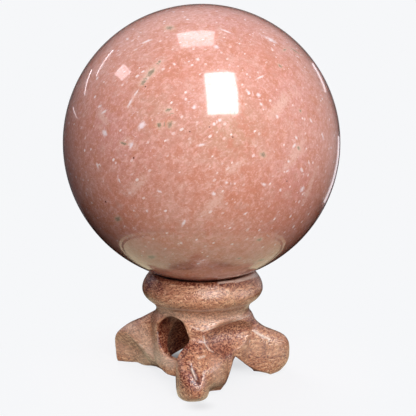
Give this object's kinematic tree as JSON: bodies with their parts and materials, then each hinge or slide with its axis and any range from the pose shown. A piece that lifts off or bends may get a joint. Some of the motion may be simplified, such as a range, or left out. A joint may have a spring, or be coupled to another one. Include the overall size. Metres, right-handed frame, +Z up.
{
  "type": "polished feldspar sphere on a carved wooden stand",
  "caption": "Polished sphere of salmon-pink feldspar resting in the cup of a small carved wooden stand with splayed feet.",
  "frame": {"origin": "on the floor, straight below the centre of the sphere", "axes": "+Z up; the side with the single narrow toe faces -Y; +X is to the right as seen from that side"},
  "size_m": [0.07, 0.07, 0.0958],
  "materials": {
    "feldspar": "polished opaque stone, mottled salmon pink with pale and grey-green flecks",
    "lacquered_wood": "reddish-brown hardwood with fine dark pores under gloss lacquer"
  },
  "bodies": {
    "root": {"feldspar_sphere": "feldspar", "wooden_stand": "lacquered_wood"}
  },
  "joints": []
}
